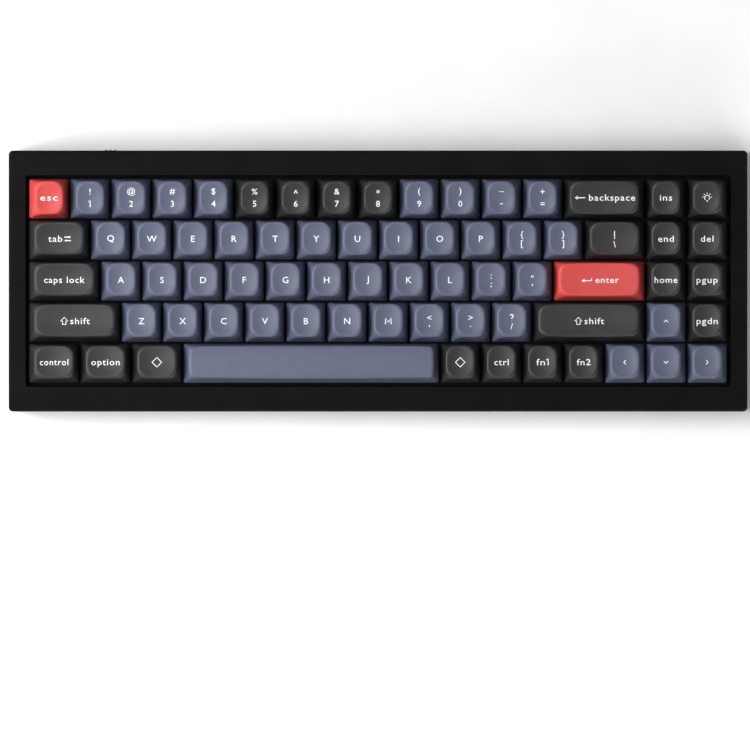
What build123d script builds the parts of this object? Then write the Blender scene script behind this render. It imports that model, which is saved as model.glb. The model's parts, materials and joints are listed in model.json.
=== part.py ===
from build123d import *
import math
import os
from collections import namedtuple

# A mechanical keyboard of 72 keys in a wedge-shaped aluminium case, in millimetres.
#
# Everything is laid out in the deck frame: X to the right, Y away from the typist, Z square to the
# switch plate, with the origin on the plate's top face at the middle of the key field. At the end
# the deck is tilted and set down, so that the feet rest on Z = 0 and the object's box is centred
# on the origin.

# ---------------------------------------------------------------------------------------------
# Driving dimensions
# ---------------------------------------------------------------------------------------------

# Key field and typing angle
key_pitch = 19.05
key_travel = 4.0
deck_tilt = 5.2                  # degrees, back edge up

# Case
side_bezel = 9.1                 # key field to the case's left and right faces
end_bezel = 12.8                 # key field to the case's front and back faces
well_margin = 0.95               # key field to the wall of the key well
bezel_top = 8.0                  # above the plate
case_wall = 3.0
case_corner = 2.0                # plan radius of the case's corners
case_chamfer = 1.0               # top outer edge
well_chamfer = 0.4               # top edge of the key well
well_corner = 0.8                # plan radius of its corners
underside_chamfer = 1.6          # bottom outer edge
floor_least = 2.6                # aluminium under the tray, at its thin front end

# Plate, gaskets, board and foams
plate_thickness = 1.5
plate_margin = 1.5               # key field to the plate's edge
tab_length = 4.0
tab_width = 14.0
gasket_thickness = 2.0
gasket_length = 3.6              # of the tab's length that a gasket covers
board_gap = 5.0                  # plate top to circuit board top
board_thickness = 1.6
board_margin = 0.5               # key field to the circuit board's edge
plate_foam_thickness = 3.1
case_foam_thickness = 1.5
foam_gap = 0.4                   # free height over the case foam

# Key switch
plate_cutout = 14.0
switch_fit = 0.05                # each side, between a switch and its cutout
flange_size = 15.6
flange_thickness = 1.0
cover_top = 6.6                  # above the plate
cover_roof = 1.0
cover_base_size = 15.0
cover_top_width = 11.0
cover_top_depth = 10.6
cover_wall = 0.65
slider_width = 7.0
slider_depth = 5.4
slider_step = 0.8                # how far the slider's shoulder reaches under the cover
slide_gap = 0.2                  # each side, around whatever slides
slider_bottom = 1.6              # above the plate, key up
cross_span = 4.0
cross_bar_x = 1.3                # thickness of the bar that runs along X
cross_bar_y = 1.1                # thickness of the bar that runs along Y
cross_rise = 3.6                 # stem cross above the cover
pole_radius = 0.95
pole_length = 5.2
spring_solid_height = 1.0        # room left under the slider at full travel
spring_radius = 1.9
spring_wire = 0.4
post_radius = 1.95
pin_width = 1.2
pin_hole_radius = 0.8
pin_length = 3.0                 # contact pins below the switch
left_pin = (-3.81, 2.54)
right_pin = (2.54, 5.08)
contact_leaf = 0.25              # sheet thickness
contact_top = 0.5                # above the plate
left_socket_pad = (3.8, 4.2, -4.1, 2.6)     # width, depth, x, y
right_socket_pad = (7.4, 4.0, 1.1, 5.0)
lamp_offset = -5.2               # lamps sit in front of each switch's middle
lamp_size = (3.2, 2.2, 0.9)
lamp_slot = (4.2, 2.6)
socket_height = 1.8

# Keycap
key_gap = 0.9                    # between neighbouring caps
cap_wall = 1.4
cap_roof = 1.3
cap_corner = 1.6
cap_side_inset = 2.45            # the top face is this much narrower on each side
skirt_drop = 0.6                 # the skirt starts this far below the switch cover's top
dish_depth = 0.7
dish_radius = 30.0
crown_radius = 45.0              # the space bar is slightly domed instead
boss_radius = 2.75
cross_fit = 0.04

# Stabilisers of the wide keys
short_spacing = 11.938           # centre to slider, keys of 2 to 2.75 units
long_spacing = 50.0              # centre to slider, space bar
stabiliser_width = 7.2
stabiliser_depth = 14.0
stabiliser_wall = 0.6
stabiliser_top = 6.0             # above the plate
stabiliser_top_depth = 9.2
stabiliser_step = 0.8            # level where the housing narrows
stabiliser_slider_depth = 5.2
stabiliser_screw_radius = 1.0
stabiliser_screw_offset = 5.1    # behind the key's middle
wire_radius = 0.8
wire_leg = 9.2
wire_setback = 8.2               # pivot bar in front of the key's middle
wire_level = -2.9                # pivot bar below the plate's top
wire_gap = 0.12                  # in its cradle
cradle_wall = 0.7                # plastic around the cradle
leg_end_level = 1.2              # leg end above the plate, key up

# Fasteners and feet
screw_radius = 1.5
screw_head_radius = 2.75
screw_head_height = 3.0
screw_socket_radius = 1.25
screw_socket_depth = 1.8
screw_grip = 5.0                 # bottom case held between the head and the seam
screw_bite = 7.0                 # thread in the top case
screw_hole_fit = 0.15
screw_boss = 8.0
small_head_radius = 1.8          # board and stabiliser screws
small_head_height = 1.1
small_slot = (2.4, 0.5, 0.5)     # length, width and depth of their slots
foot_length = 40.0
foot_width = 9.0
foot_height = 2.0                # below the case
foot_pocket = 0.6                # into the case
foot_fit = 0.15
foot_chamfer = 0.4
foot_inset_x = 42.0              # foot centre to the case's side
foot_inset_y = 18.0              # foot centre to the case's front or back

# Rear port and layout switch
port_inset = 31.0                # port centre to the case's left face
port_level = -9.0                # below the plate's top
port_width = 8.94
port_height = 3.26
port_length = 7.3
port_shell = 0.3
port_recess_width = 12.6
port_recess_height = 6.8
port_recess_depth = 1.2
usb_board_width = 32.0
usb_board_depth = 13.0
usb_board_thickness = 1.2
usb_board_fit = 0.45
usb_screw_radius = 1.0
usb_screw_length = 4.0
toggle_inset = 47.2              # knob centre to the case's left face
toggle_travel = 2.5
toggle_knob_width = 5.4
toggle_knob_height = 3.2
toggle_reach = 0.4               # knob tip beyond the case's back face
toggle_recess_depth = 1.8
toggle_neck = (3.0, 1.6)
toggle_housing_depth = 4.2
cable_width = 6.0
cable_thickness = 0.3
cable_plug_height = 0.9
cable_plug_depth = 2.4
chip_size = 7.0
chip_height = 0.9

# Key rows, back to front: node name and width in key units
key_rows = [
    [("escape_key", 1), *[("number_row_keys", 1)] * 12, ("backspace_key", 2), ("insert_key", 1),
     ("light_key", 1)],
    [("tab_key", 1.5), *[("upper_row_keys", 1)] * 12, ("backslash_key", 1.5), ("end_key", 1),
     ("delete_key", 1)],
    [("caps_lock_key", 1.75), *[("home_row_keys", 1)] * 11, ("enter_key", 2.25), ("home_key", 1),
     ("page_up_key", 1)],
    [("left_shift_key", 2.25), *[("lower_row_keys", 1)] * 10, ("right_shift_key", 2.75),
     ("up_key", 1), ("page_down_key", 1)],
    [("control_key", 1.25), ("option_key", 1.25), ("left_command_key", 1.25), ("space_key", 6.25),
     ("right_command_key", 1), ("right_control_key", 1), ("fn1_key", 1), ("fn2_key", 1),
     ("left_key", 1), ("down_key", 1), ("right_key", 1)],
]

# Cap profile of each row: height, front inset, back inset, tilt of the top face in degrees
CapProfile = namedtuple("CapProfile", "height front_inset back_inset tilt")
cap_profiles = [
    CapProfile(10.9, 2.7, 1.5, 6.0),
    CapProfile(9.5, 2.9, 1.05, 3.0),
    CapProfile(8.7, 2.9, 1.05, 0.0),
    CapProfile(8.9, 2.9, 1.05, -4.0),
    CapProfile(8.9, 2.6, 1.3, -4.0),
]

# ---------------------------------------------------------------------------------------------
# Worked-out dimensions
# ---------------------------------------------------------------------------------------------

field_width = key_pitch * sum(units for _, units in key_rows[0])
field_depth = key_pitch * len(key_rows)
case_width = field_width + 2 * side_bezel
case_depth = field_depth + 2 * end_bezel
inner_width = case_width - 2 * case_wall
inner_depth = case_depth - 2 * case_wall
case_back = case_depth / 2
inner_back = inner_depth / 2

roof_level = gasket_thickness                          # underside of the bezel
seam_level = -plate_thickness - gasket_thickness
board_top = -board_gap
board_bottom = board_top - board_thickness
plate_size = (field_width + 2 * plate_margin, field_depth + 2 * plate_margin)
board_size = (field_width + 2 * board_margin, field_depth + 2 * board_margin)

cavity_floor = slider_bottom - key_travel - spring_solid_height
pole_bottom = slider_bottom - pole_length
bore_bottom = pole_bottom - key_travel - 0.3
post_bottom = bore_bottom - 0.4
foam_top = min(post_bottom, board_bottom - socket_height) - foam_gap
floor_level = foam_top - case_foam_thickness
skirt_level = cover_top - skirt_drop
cross_top = cover_top + cross_rise
slider_top = cover_top - slide_gap
shoulder_top = cover_top - cover_roof - slide_gap
switch_body = plate_cutout - 2 * switch_fit
shoulder_width = slider_width + 2 * slider_step
shoulder_depth = slider_depth + 2 * slider_step - 0.4

# The stabiliser leg swings between these angles (degrees above the deck)
leg_up = math.degrees(math.asin((leg_end_level - wire_level) / wire_leg))
leg_down = math.degrees(math.asin((leg_end_level - key_travel - wire_level) / wire_leg))

tilt_sin = math.sin(math.radians(deck_tilt))
tilt_cos = math.cos(math.radians(deck_tilt))

screw_columns = case_width / 2 - side_bezel
screw_row = (plate_size[1] / 2 + 0.8 + inner_back) / 2 + 0.3
tab_columns = screw_columns * 2 / 3

port_x = -case_width / 2 + port_inset
toggle_x = -case_width / 2 + toggle_inset
port_mouth = case_back - port_recess_depth
usb_board_top = port_level - port_height / 2
usb_board_x = (port_x + toggle_x) / 2 - 1.0
usb_board_back = inner_back - usb_board_fit
usb_board_y = usb_board_back - usb_board_depth / 2

Key = namedtuple("Key", "node row units x y")


def lay_out_keys():
    """Every key with its place in the deck frame."""
    keys = []
    for row, names in enumerate(key_rows):
        left = -field_width / 2
        y = ((len(key_rows) - 1) / 2 - row) * key_pitch
        for node, units in names:
            keys.append(Key(node, row, units, left + units * key_pitch / 2, y))
            left += units * key_pitch
    return keys


keys = lay_out_keys()
wide_keys = [key for key in keys if key.units >= 2]


def slider_spacing(key):
    """Distance from a wide key's middle to each of its two stabiliser sliders."""
    return long_spacing if key.units > 3 else short_spacing


# ---------------------------------------------------------------------------------------------
# Small helpers
# ---------------------------------------------------------------------------------------------

def slab(width, depth, bottom, top, x=0.0, y=0.0):
    """A box between two levels."""
    return Pos(x, y, (bottom + top) / 2) * Box(width, depth, top - bottom)


def rod(radius, bottom, top, x=0.0, y=0.0):
    """An upright cylinder between two levels."""
    return Pos(x, y, (bottom + top) / 2) * Cylinder(radius, top - bottom)


def rod_along_x(radius, length, x, y, z):
    return Pos(x, y, z) * Rot(0, 90, 0) * Cylinder(radius, length)


def rounded_slab(width, depth, corner, bottom, top, x=0.0, y=0.0):
    return Pos(x, y, bottom) * extrude(RectangleRounded(width, depth, corner), top - bottom)


def leaned_block(width, depth, height, side_in, front_in, back_in, tilt, corner):
    """A block on Z = 0 whose four walls lean inwards and whose top is tilted about X.

    Each wall has moved in by its inset at the given height. The corner edges are rounded.
    """
    block = slab(width, depth, 0, height * 1.5)
    rise = math.radians(tilt)
    cuts = [
        ((width / 2, 0, 0), (height, 0, side_in)),
        ((-width / 2, 0, 0), (-height, 0, side_in)),
        ((0, -depth / 2, 0), (0, -height, front_in)),
        ((0, depth / 2, 0), (0, height, back_in)),
        ((0, 0, height), (0, -math.sin(rise), math.cos(rise))),
    ]
    for origin, normal in cuts:
        block = split(block, bisect_by=Plane(origin=origin, z_dir=normal), keep=Keep.BOTTOM)
    if corner:
        block = fillet(block.edges().filter_by(lambda e: abs(e.tangent_at(0.5).Z) > 0.8), corner)
    return block


def cross(fit, bottom, top):
    """The plus-shaped post of a key stem, grown by a fit on every side."""
    span = cross_span + 2 * fit
    return slab(span, cross_bar_x + 2 * fit, bottom, top) + slab(cross_bar_y + 2 * fit, span, bottom, top)


def at_keys(solid):
    """A copy of a solid at every key."""
    return [Pos(key.x, key.y, 0) * solid for key in keys]


def at_sliders(solid):
    """A copy of a solid at both stabiliser sliders of every wide key."""
    return [Pos(key.x + side * slider_spacing(key), key.y, 0) * solid
            for key in wide_keys for side in (-1, 1)]


# ---------------------------------------------------------------------------------------------
# Keycaps, stems and stabiliser sliders: everything that goes down with a key
# ---------------------------------------------------------------------------------------------

def make_cap(row, units):
    """A hollow cap with its sockets, its skirt on the deck's skirt level."""
    profile = cap_profiles[row]
    width = units * key_pitch - key_gap
    depth = key_pitch - key_gap
    domed = units > 3
    outer = leaned_block(width, depth, profile.height, cap_side_inset, profile.front_inset,
                         profile.back_inset, profile.tilt, cap_corner)
    inner_height = profile.height - dish_depth - cap_roof
    shrink = inner_height / profile.height
    inner = leaned_block(width - 2 * cap_wall, depth - 2 * cap_wall, inner_height,
                         cap_side_inset * shrink, profile.front_inset * shrink,
                         profile.back_inset * shrink, profile.tilt, 0)
    tilt = Pos(0, (profile.front_inset - profile.back_inset) / 2, profile.height) * Rot(profile.tilt, 0, 0)
    if domed:
        outer = outer & (tilt * rod_along_x(crown_radius, width, 0, 0, -crown_radius))
    elif units > 1:
        outer = outer - tilt * rod_along_x(dish_radius, width, 0, 0, dish_radius - dish_depth)
    else:
        outer = outer - tilt * Pos(0, 0, dish_radius - dish_depth) * Sphere(dish_radius)
    cap = outer - inner

    boss_bottom = slider_top + 0.35 - skirt_level
    socket_top = cross_top - skirt_level
    boss = rod(boss_radius, boss_bottom, inner_height + 0.4)
    socket = cross(cross_fit, boss_bottom, socket_top)
    posts = [0.0]
    if units >= 2:
        spacing = long_spacing if domed else short_spacing
        posts += [-spacing, spacing]
    for x in posts:
        cap = cap + Pos(x, 0, 0) * boss
    for x in posts:
        cap = cap - Pos(x, 0, 0) * socket
    return Pos(0, 0, skirt_level) * cap


def make_stem():
    """A switch stem: cross, slider with its shoulder, and the guide pole under it."""
    return (cross(0, slider_top, cross_top)
            + slab(slider_width, slider_depth, slider_bottom, slider_top)
            + slab(shoulder_width, shoulder_depth, slider_bottom, shoulder_top)
            + rod(pole_radius, pole_bottom, slider_bottom))


def make_stabiliser_slider():
    """A stabiliser slider: the same cross on a block with an eye for the wire leg."""
    width = stabiliser_width - 2 * stabiliser_wall - 2 * slide_gap
    bottom = board_top + key_travel + 0.1
    block = slab(width, stabiliser_slider_depth, bottom, slider_top)
    eye_half = wire_radius + 0.3
    eye_floor = bottom + 0.6
    eye_top = leg_end_level + wire_radius + 0.25
    lead_in = slab(2 * eye_half, stabiliser_slider_depth / 2, bottom, eye_top,
                   y=-stabiliser_slider_depth / 4 - 0.8)
    eye = slab(2 * eye_half, 2.5 + 0.8, eye_floor, eye_top, y=(1.7 - 0.8) / 2)
    return cross(0, slider_top, cross_top) + (block - lead_in - eye)


# ---------------------------------------------------------------------------------------------
# Switch parts that stay put
# ---------------------------------------------------------------------------------------------

def make_switch_base():
    cavity = slab(shoulder_width + 1.0, shoulder_depth + 0.6, cavity_floor, flange_thickness)
    base = (slab(flange_size, flange_size, 0, flange_thickness)
            + slab(switch_body, switch_body, board_top, 0)
            + rod(post_radius, post_bottom, board_top))
    base = base - cavity - rod(pole_radius + slide_gap, bore_bottom, cavity_floor)
    base = base - slab(*lamp_slot, board_top, flange_thickness, y=lamp_offset)
    pin_hole = 2 * pin_hole_radius
    base = base - slab(pin_hole, 0.8, board_top, cavity_floor, *left_pin)
    return base - slab(pin_hole, 0.8, board_top, flange_thickness, *right_pin)


def make_switch_cover():
    height = cover_top - flange_thickness
    shell = leaned_block(cover_base_size, cover_base_size, height,
                         (cover_base_size - cover_top_width) / 2,
                         (cover_base_size - cover_top_depth) / 2,
                         (cover_base_size - cover_top_depth) / 2, 0, 0)
    shell = Pos(0, 0, flange_thickness) * shell
    room = slab(cover_top_width - cover_wall, shoulder_depth + 1.4, flange_thickness,
                cover_top - cover_roof)
    opening = slab(slider_width + 2 * slide_gap, slider_depth + 2 * slide_gap, 0, cover_top)
    lens_notch = slab(lamp_slot[0] + 1.0, 3.0, 0, cover_top, y=-cover_top_depth / 2 - 1.0)
    return shell - room - opening - lens_notch


def make_spring():
    """A coil spring as the closed sleeve that its turns make."""
    return (rod(spring_radius, cavity_floor, slider_bottom)
            - rod(spring_radius - spring_wire, cavity_floor, slider_bottom))


def make_contacts():
    """The fixed and the moving contact of one switch: a flat pin with a leaf on its top."""
    leaf_x = -shoulder_width / 2 - 0.35
    pin_bottom = board_top - pin_length
    shelf_width = left_pin[0] - leaf_x + pin_width / 2
    left = (slab(contact_leaf, 2.4, cavity_floor, contact_top, leaf_x, left_pin[1] - 0.8)
            + slab(shelf_width, 1.4, cavity_floor, cavity_floor + contact_leaf,
                   leaf_x + shelf_width / 2, left_pin[1])
            + slab(pin_width, contact_leaf, pin_bottom, cavity_floor, *left_pin))
    right = slab(pin_width, contact_leaf, pin_bottom, contact_top, *right_pin)
    return [left, right]


def make_socket():
    """A hot-swap socket under the board, around both contact pins."""
    top = board_bottom
    bottom = top - socket_height
    hole = 2 * pin_hole_radius
    pads = [slab(width, depth, bottom, top, x, y)
            for width, depth, x, y in (left_socket_pad, right_socket_pad)]
    body = pads[0] + pads[1]
    for pin in (left_pin, right_pin):
        body = body - slab(hole, hole, bottom, top, *pin)
    return body


# ---------------------------------------------------------------------------------------------
# Stabilisers
# ---------------------------------------------------------------------------------------------

def make_stabiliser_housing():
    room_width = stabiliser_width - 2 * stabiliser_wall
    room_depth = stabiliser_slider_depth + 2 * slide_gap + 0.8
    slot = 2 * (wire_radius + 0.3)
    lug_front = -wire_setback - wire_radius - wire_gap - cradle_wall
    lug_depth = -stabiliser_depth / 2 - lug_front
    housing = (slab(stabiliser_width, stabiliser_depth, board_top, stabiliser_step)
               + slab(stabiliser_width, stabiliser_top_depth, board_top, stabiliser_top)
               + slab(stabiliser_width, lug_depth, board_top, wire_level, y=lug_front + lug_depth / 2)
               + slab(stabiliser_width, 0.5, board_top, wire_level + wire_radius, y=lug_front + 0.25))
    leg_path_front = -wire_setback
    leg_path_depth = wire_setback - room_depth / 2 + 0.1
    leg_path = slab(slot, leg_path_depth, wire_level - wire_radius - 0.25, stabiliser_step + 0.3,
                    y=leg_path_front + leg_path_depth / 2)
    cradle = rod_along_x(wire_radius + wire_gap, stabiliser_width, 0, -wire_setback, wire_level)
    pilot = rod(stabiliser_screw_radius + 0.05, board_top, stabiliser_step - 0.8,
                y=stabiliser_screw_offset)
    room = slab(room_width, room_depth, board_top, stabiliser_top)
    return housing - room - leg_path - cradle - pilot


def make_stabiliser_screw():
    """Driven up through the board into a stabiliser housing."""
    head_bottom = board_bottom - small_head_height
    screw = (rod(small_head_radius, head_bottom, board_bottom, y=stabiliser_screw_offset)
             + rod(stabiliser_screw_radius, board_bottom, -1.0, y=stabiliser_screw_offset))
    length, width, depth = small_slot
    return screw - slab(length, width, head_bottom, head_bottom + depth, y=stabiliser_screw_offset)


def make_stabiliser_wire(key):
    """The pivot bar with its two legs, in the place it has while the key is up."""
    spacing = slider_spacing(key)
    wire = rod_along_x(wire_radius, 2 * spacing, 0, 0, 0)
    leg = Rot(leg_up - 90, 0, 0) * Pos(0, 0, wire_leg / 2) * Cylinder(wire_radius, wire_leg)
    for side in (-1, 1):
        wire = wire + Pos(side * spacing, 0, 0) * leg + Pos(side * spacing, 0, 0) * Sphere(wire_radius)
    return Pos(key.x, key.y - wire_setback, wire_level) * wire


def wire_channels(bottom, top):
    """Room for every pivot bar and its cradles, from one level to another."""
    gap = 0.5
    front = wire_setback + wire_radius + wire_gap + cradle_wall + gap
    back = stabiliser_depth / 2 + gap
    channels = []
    for key in wide_keys:
        spacing = slider_spacing(key)
        channels.append(slab(2 * spacing, front - wire_setback + 2.0, bottom, top,
                             key.x, key.y - (front + wire_setback - 2.0) / 2))
        for side in (-1, 1):
            channels.append(slab(stabiliser_width + 2 * gap, front + back, bottom, top,
                                 key.x + side * spacing, key.y + (back - front) / 2))
    return channels


# ---------------------------------------------------------------------------------------------
# Plate, gaskets, boards and foams
# ---------------------------------------------------------------------------------------------

def tab_places():
    """Middle and half-sizes direction of each gasket tab: x, y, and whether it lies on a side."""
    places = [(x, side * plate_size[1] / 2, False) for side in (-1, 1)
              for x in (-tab_columns, 0, tab_columns)]
    return places + [(side * plate_size[0] / 2, 0, True) for side in (-1, 1)]


def tab_slab(place, start, length, width, bottom, top):
    """A slab on a tab, from a distance beyond the plate's edge outwards."""
    x, y, on_side = place
    reach = start + length / 2
    if on_side:
        return slab(length, width, bottom, top, x + math.copysign(reach, x), y)
    return slab(width, length, bottom, top, x, y + math.copysign(reach, y))


def make_plate():
    plate = slab(*plate_size, -plate_thickness, 0)
    for place in tab_places():
        plate = plate + tab_slab(place, -1.0, tab_length + 1.0, tab_width, -plate_thickness, 0)
    cutout = slab(plate_cutout, plate_cutout, -plate_thickness, 0)
    opening_depth = stabiliser_depth + 1.4
    opening = slab(stabiliser_width + 0.3, opening_depth, -plate_thickness, 0, y=-0.35)
    return plate - (at_keys(cutout) + at_sliders(opening))


def make_gaskets():
    gaskets = []
    for place in tab_places():
        for bottom in (0, seam_level):
            gaskets.append(tab_slab(place, (tab_length - gasket_length) / 2, gasket_length,
                                    tab_width - 1.0, bottom, bottom + gasket_thickness))
    return gaskets


def make_plate_foam():
    top = -plate_thickness - 0.1
    bottom = top - plate_foam_thickness
    foam = slab(board_size[0], board_size[1], bottom, top)
    hole = slab(switch_body + 1.0, switch_body + 1.0, bottom, top)
    return foam - (at_keys(hole) + wire_channels(bottom, top))


def make_circuit_board():
    outline = Rectangle(*board_size)
    holes = []
    for key in keys:
        holes.append(Pos(key.x, key.y) * Circle(post_radius + 0.1))
        for pin in (left_pin, right_pin):
            holes.append(Pos(key.x + pin[0], key.y + pin[1]) * Circle(pin_hole_radius))
    for key in wide_keys:
        for side in (-1, 1):
            x = key.x + side * slider_spacing(key)
            holes.append(Pos(x, key.y + stabiliser_screw_offset) * Circle(stabiliser_screw_radius + 0.1))
    return Pos(0, 0, board_bottom) * extrude(outline - holes, board_thickness)


def make_case_foam():
    margin = 3.0
    foam = slab(board_size[0] - 2 * margin, board_size[1] - 2 * margin, floor_level, foam_top)
    return foam - slab(usb_board_width + 4, usb_board_depth + 4, floor_level, foam_top,
                       usb_board_x, usb_board_y)


def make_controller_chip():
    """The controller, under the board between two keys of the second row."""
    key = [key for key in keys if key.row == 1][7]
    x = key.x + key_pitch / 2 - 0.5
    return slab(chip_size, chip_size, board_bottom - chip_height, board_bottom, x, key.y - key_pitch / 4)


# ---------------------------------------------------------------------------------------------
# Rear port, its board, the layout switch and the inner cable
# ---------------------------------------------------------------------------------------------

def make_usb_board():
    board = slab(usb_board_width, usb_board_depth, usb_board_top - usb_board_thickness,
                 usb_board_top, usb_board_x, usb_board_y)
    for x, y in usb_screw_places():
        board = board - rod(usb_screw_radius + 0.1, usb_board_top - usb_board_thickness,
                            usb_board_top, x, y)
    return board


def usb_screw_places():
    reach = usb_board_width / 2 - 3.0
    y = usb_board_y - usb_board_depth / 2 + 3.0
    return [(usb_board_x - reach, y), (usb_board_x + reach, y)]


def make_usb_screw(x, y):
    head_top = usb_board_top + small_head_height
    screw = (rod(small_head_radius, usb_board_top, head_top, x, y)
             + rod(usb_screw_radius, usb_board_top - usb_screw_length, usb_board_top, x, y))
    length, width, depth = small_slot
    return screw - slab(length, width, head_top - depth, head_top, x, y)


def make_usb_port():
    """A receptacle: rounded shell, back wall and contact tongue."""
    def oval(width, height, length):
        profile = RectangleRounded(width, height, height / 2 - 0.02)
        return extrude(Plane.XZ * profile, -length)
    shell = oval(port_width, port_height, port_length)
    mouth = Pos(0, 0.8, 0) * oval(port_width - 2 * port_shell, port_height - 2 * port_shell, port_length)
    tongue = Pos(0, 0.8 + 2.6, 0) * Box(6.6, 5.2, 0.7)
    return Pos(port_x, port_mouth - port_length, port_level) * (shell - mouth + tongue)


def toggle_slot_width(knob):
    return knob + toggle_travel + 2 * slide_gap


def make_toggle_housing():
    """The slide switch body on the board, with the channel that its knob runs in."""
    depth = toggle_housing_depth
    y = usb_board_back - depth / 2 - 0.2
    x = toggle_x + toggle_travel / 2
    width = toggle_slot_width(toggle_neck[0]) + 2.4
    top = port_level + toggle_neck[1] / 2 + 1.1
    housing = slab(width, depth, usb_board_top, top, x, y)
    half = toggle_neck[1] / 2 + slide_gap
    channel = slab(toggle_slot_width(toggle_neck[0]), depth, port_level - half, port_level + half,
                   x, y + 1.2)
    return housing - channel


def make_toggle_knob():
    """A thumb piece with three upright ribs, on a neck that reaches into the housing."""
    tip = case_back + toggle_reach
    thumb_front = case_back - toggle_recess_depth + 0.3
    rib = 0.4
    half = toggle_knob_height / 2
    body = slab(toggle_knob_width, tip - rib - thumb_front, port_level - half, port_level + half,
                toggle_x, (thumb_front + tip - rib) / 2)
    neck_front = usb_board_back - toggle_housing_depth + 1.4
    neck_half = toggle_neck[1] / 2
    neck = slab(toggle_neck[0], thumb_front - neck_front, port_level - neck_half,
                port_level + neck_half, toggle_x, (neck_front + thumb_front) / 2)
    knob = body + neck
    for offset in (-2.1, 0, 2.1):
        knob = knob + slab(0.8, rib, port_level - half, port_level + half, toggle_x + offset, tip - rib / 2)
    return knob


def make_board_cable():
    """The flat flexible cable that folds from the port board up to the main board."""
    x = usb_board_x + usb_board_width / 2 - 9.6
    low = usb_board_top + cable_plug_height
    high = board_bottom - cable_plug_height
    radius = (high - low) / 2 - cable_thickness / 2
    plug_y = board_size[1] / 2 - cable_plug_depth / 2 - 0.4
    bend_y = board_size[1] / 2 + 0.3
    run = bend_y - plug_y
    bend = rod_along_x(radius + cable_thickness / 2, cable_width, 0, 0, 0)
    bend = bend - rod_along_x(radius - cable_thickness / 2, cable_width, 0, 0, 0)
    bend = Pos(x, bend_y, (low + high) / 2) * (bend & Pos(0, 5, 0) * Box(cable_width, 10, 10))
    return (slab(cable_width + 1.0, cable_plug_depth, usb_board_top, low, x, plug_y)
            + slab(cable_width + 1.0, cable_plug_depth, high, board_bottom, x, plug_y)
            + slab(cable_width, run, low, low + cable_thickness, x, plug_y + run / 2)
            + slab(cable_width, run, high - cable_thickness, high, x, plug_y + run / 2)
            + bend)


# ---------------------------------------------------------------------------------------------
# Case, screws and feet
# ---------------------------------------------------------------------------------------------

def case_screw_places():
    return [(column * screw_columns, side * screw_row) for side in (-1, 1)
            for column in (-1, -1 / 3, 1 / 3, 1)]


def boss_blocks(bottom, top):
    """Blocks that tie each screw boss to the case's front or back wall."""
    blocks = []
    for x, y in case_screw_places():
        near = abs(y) - screw_boss / 2 + 0.6
        depth = inner_back - near
        blocks.append(slab(screw_boss, depth, bottom, top, x, math.copysign(near + depth / 2, y)))
    return blocks


def make_top_case():
    shell = rounded_slab(case_width, case_depth, case_corner, seam_level, bezel_top)
    shell = chamfer(shell.faces().sort_by(Axis.Z)[-1].edges(), case_chamfer)
    shell = shell - slab(inner_width, inner_depth, seam_level, roof_level)
    shell = shell + boss_blocks(seam_level, roof_level)
    well_size = (field_width + 2 * well_margin, field_depth + 2 * well_margin)
    well = rounded_slab(*well_size, well_corner, roof_level, bezel_top)
    rim_size = [size + 2 * well_chamfer for size in well_size]
    rim = loft([Pos(0, 0, bezel_top - well_chamfer) * RectangleRounded(*well_size, well_corner),
                Pos(0, 0, bezel_top) * RectangleRounded(*rim_size, well_corner + well_chamfer)])
    shell = shell - well - rim
    for x, y in case_screw_places():
        shell = shell - rod(screw_radius + 0.03, seam_level, seam_level + screw_bite + 0.6, x, y)
    return shell


def make_tray():
    """The bottom case before its underside is cut level: walls, floor, ledges and pockets."""
    deep = floor_level - case_depth * tilt_sin - 20
    tray = rounded_slab(case_width, case_depth, case_corner, deep, seam_level)
    tray = tray - slab(inner_width, inner_depth, floor_level, seam_level)
    ledges = []
    for place in tab_places():
        room = (inner_width - plate_size[0]) / 2 if place[2] else (inner_depth - plate_size[1]) / 2
        ledges.append(tab_slab(place, 0.5, room - 0.5, tab_width + 0.6, floor_level, seam_level))
    tray = tray + boss_blocks(floor_level, seam_level) + ledges
    tray = tray - slab(usb_board_width + 1.0, usb_board_depth + 2 * usb_board_fit,
                       usb_board_top - usb_board_thickness, floor_level, usb_board_x, usb_board_y)
    for x, y in usb_screw_places():
        tray = tray - rod(usb_screw_radius + 0.05, usb_board_top - usb_screw_length - 0.5,
                          floor_level, x, y)
    for x, y in case_screw_places():
        seat = seam_level - screw_grip
        tray = tray - rod(screw_radius + screw_hole_fit, seat, seam_level, x, y)
        tray = tray - rod(screw_head_radius + 0.3, deep, seat, x, y)
    return tray - rear_cuts()


def rear_cuts():
    """The recesses and through holes of the port and of the layout switch in the back wall."""
    def cut(width, height, front, back, x):
        return slab(width, back - front, port_level - height / 2, port_level + height / 2,
                    x, (front + back) / 2)
    slot_x = toggle_x + toggle_travel / 2
    return [
        cut(port_recess_width, port_recess_height, port_mouth, case_back, port_x),
        cut(port_width + 0.5, port_height + 0.5, inner_back, port_mouth, port_x),
        cut(toggle_slot_width(toggle_knob_width), toggle_knob_height + 2 * slide_gap,
            case_back - toggle_recess_depth, case_back, slot_x),
        cut(toggle_slot_width(toggle_neck[0]), toggle_neck[1] + 2 * slide_gap, inner_back,
            case_back - toggle_recess_depth, slot_x),
    ]


def make_case_screw(x, y):
    seat = seam_level - screw_grip
    screw = (rod(screw_head_radius, seat - screw_head_height, seat, x, y)
             + rod(screw_radius, seat, seam_level + screw_bite, x, y))
    socket = Pos(x, y, seat - screw_head_height) * extrude(RegularPolygon(screw_socket_radius, 6),
                                                           screw_socket_depth)
    return screw - socket


def make_foot(x, y):
    """A flat rubber foot, made in the desk's frame."""
    outline = SlotOverall(foot_length, foot_width)
    foot = extrude(outline, foot_height + foot_pocket)
    foot = chamfer(foot.faces().sort_by(Axis.Z)[0].edges(), foot_chamfer)
    return Pos(x, y, 0) * foot


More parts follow.
